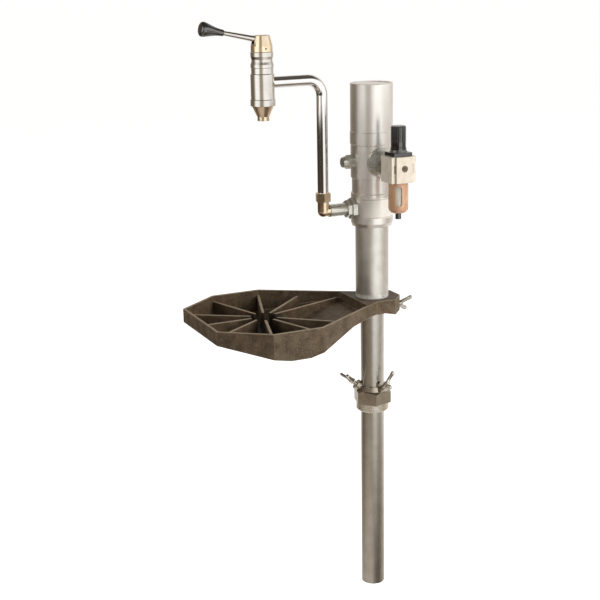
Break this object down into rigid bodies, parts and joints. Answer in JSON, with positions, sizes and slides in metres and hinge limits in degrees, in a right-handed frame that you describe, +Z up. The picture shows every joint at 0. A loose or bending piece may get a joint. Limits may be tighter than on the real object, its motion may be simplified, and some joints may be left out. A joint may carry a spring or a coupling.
{
  "type": "air-operated drum pump",
  "caption": "Air-operated drum pump with a swinging gooseneck spout, lever tap, filter regulator and a ribbed drip tray that swivels on its tube.",
  "frame": {"origin": "pump axis, on the face of the bung adaptor that seats on the drum", "axes": "+Z up along the pump axis; -X towards the outlet, the spout and the tray; -Y towards the air inlet and the filter regulator"},
  "size_m": [0.4105, 0.281, 1.06],
  "materials": {
    "silver_body": "satin turned",
    "zinc_steel": "zinc plated",
    "wing_zinc": "bright zinc on a cast wing",
    "galvanised_tube": "dull galvanised",
    "steel_inner": "plain machined",
    "steel_ball": "ground and polished",
    "brass": "machined",
    "chrome": "polished plating",
    "dark_fitting": "dark zinc",
    "bright_fitting": "bright turned",
    "label_foil": "bare foil plate",
    "tray_brown": "moulded, slightly rough",
    "beige_diecast": "die-cast with a satin coat",
    "bronze_guard": "bronze coat",
    "clear_bowl": "clear bowl",
    "white_filter": "sintered",
    "black_plastic": "satin black",
    "black_rubber": "moulded"
  },
  "bodies": {
    "adaptor": {"bung_adaptor": "zinc_steel"},
    "pump": {"suction_tube": "galvanised_tube", "foot_valve": "brass", "strainer": "galvanised_tube", "tube_collar": "zinc_steel", "pump_tube": "galvanised_tube", "pump_liner": "steel_inner", "outlet_body": "silver_body", "rod_gland": "brass", "rating_plate": "label_foil", "valve_housing": "silver_body", "exhaust_silencer": "bright_fitting", "silencer_washer": "bright_fitting", "motor_cylinder": "silver_body", "top_screw": "zinc_steel", "inlet_flange": "dark_fitting", "union_nut": "dark_fitting", "air_nipple": "bright_fitting", "regulator_body": "beige_diecast", "regulator_bonnet": "black_plastic", "regulator_diaphragm": "black_rubber", "regulator_spring": "steel_inner", "bowl_guard": "bronze_guard", "filter_bowl": "clear_bowl", "filter_element": "white_filter", "outlet_nut": "zinc_steel", "outlet_adaptor": "zinc_steel", "elbow": "brass", "gland_nut": "brass"},
    "clamp_left": {"wing_bolt_left": "wing_zinc"},
    "clamp_right": {"wing_bolt_right": "wing_zinc"},
    "tray": {"tray_shell": "tray_brown", "tray_ribs": "tray_brown"},
    "tray_screw": {"tray_wing_bolt": "wing_zinc"},
    "spout": {"spout_pipe": "chrome", "tap_body": "chrome", "tap_nozzle": "brass", "tap_cap": "brass", "lever_pin": "steel_inner", "tap_spring": "steel_inner"},
    "lever": {"lever_rod": "chrome", "lever_knob": "black_plastic"},
    "spindle": {"tap_spindle": "steel_inner"},
    "motor_piston": {"air_piston": "steel_inner", "piston_seal": "black_rubber", "piston_rod": "steel_inner", "pump_piston": "brass"},
    "transfer_ball": {"piston_ball": "steel_ball"},
    "suction_ball": {"foot_ball": "steel_ball"},
    "spool": {"air_spool": "steel_inner"},
    "pressure_knob": {"regulator_knob": "black_plastic"},
    "drain": {"drain_cock": "black_plastic"}
  },
  "joints": [
    {"name": "height", "type": "slide", "parent": "adaptor", "child": "pump", "axis": [0, 0, 1], "range_m": [-0.088, 0.25]},
    {"name": "left_clamp_turn", "type": "hinge", "parent": "adaptor", "child": "clamp_left", "pos_m": [-0.02038, 0.00584, 0.0264], "axis": [-0.7364, 0.2111, 0.6428], "range_deg": [0, 720]},
    {"name": "right_clamp_turn", "type": "hinge", "parent": "adaptor", "child": "clamp_right", "pos_m": [0.00513, -0.02057, 0.0264], "axis": [0.1853, -0.7433, 0.6428], "range_deg": [0, 720]},
    {"name": "tray_swing", "type": "hinge", "parent": "pump", "child": "tray", "pos_m": [0, 0, 0.19], "axis": [0, 0, 1], "continuous": true},
    {"name": "tray_screw_turn", "type": "hinge", "parent": "tray", "child": "tray_screw", "pos_m": [0.053, 0, 0.178], "axis": [1, 0, 0], "range_deg": [0, 720]},
    {"name": "spout_swing", "type": "hinge", "parent": "pump", "child": "spout", "pos_m": [-0.0955, 0, 0.39], "axis": [0, 0, 1], "range_deg": [-140, 140]},
    {"name": "lever_lift", "type": "hinge", "parent": "spout", "child": "lever", "pos_m": [-0.2045, 0, 0.6491], "axis": [0, 1, 0], "range_deg": [0, 45]},
    {"name": "spindle_lift", "type": "slide", "parent": "spout", "child": "spindle", "axis": [0, 0, 1], "range_m": [0, 0.004], "deforming": ["tap_spring"]},
    {"name": "piston_stroke", "type": "slide", "parent": "pump", "child": "motor_piston", "axis": [0, 0, 1], "range_m": [0, 0.07]},
    {"name": "transfer_valve", "type": "slide", "parent": "motor_piston", "child": "transfer_ball", "axis": [0, 0, 1], "range_m": [0, 0.003]},
    {"name": "suction_valve", "type": "slide", "parent": "pump", "child": "suction_ball", "axis": [0, 0, 1], "range_m": [0, 0.006]},
    {"name": "spool_shift", "type": "slide", "parent": "pump", "child": "spool", "axis": [0, 0, 1], "range_m": [0, 0.008]},
    {"name": "pressure_set", "type": "hinge", "parent": "pump", "child": "pressure_knob", "pos_m": [0, -0.096, 0.49], "axis": [0, 0, 1], "range_deg": [-720, 720]},
    {"name": "drain_turn", "type": "hinge", "parent": "pump", "child": "drain", "pos_m": [0, -0.096, 0.365], "axis": [0, 0, 1], "range_deg": [0, 180]}
  ],
  "couplings": [
    {"joint": "spindle_lift", "follows": "lever_lift", "m_per_rad": 0.00509}
  ]
}
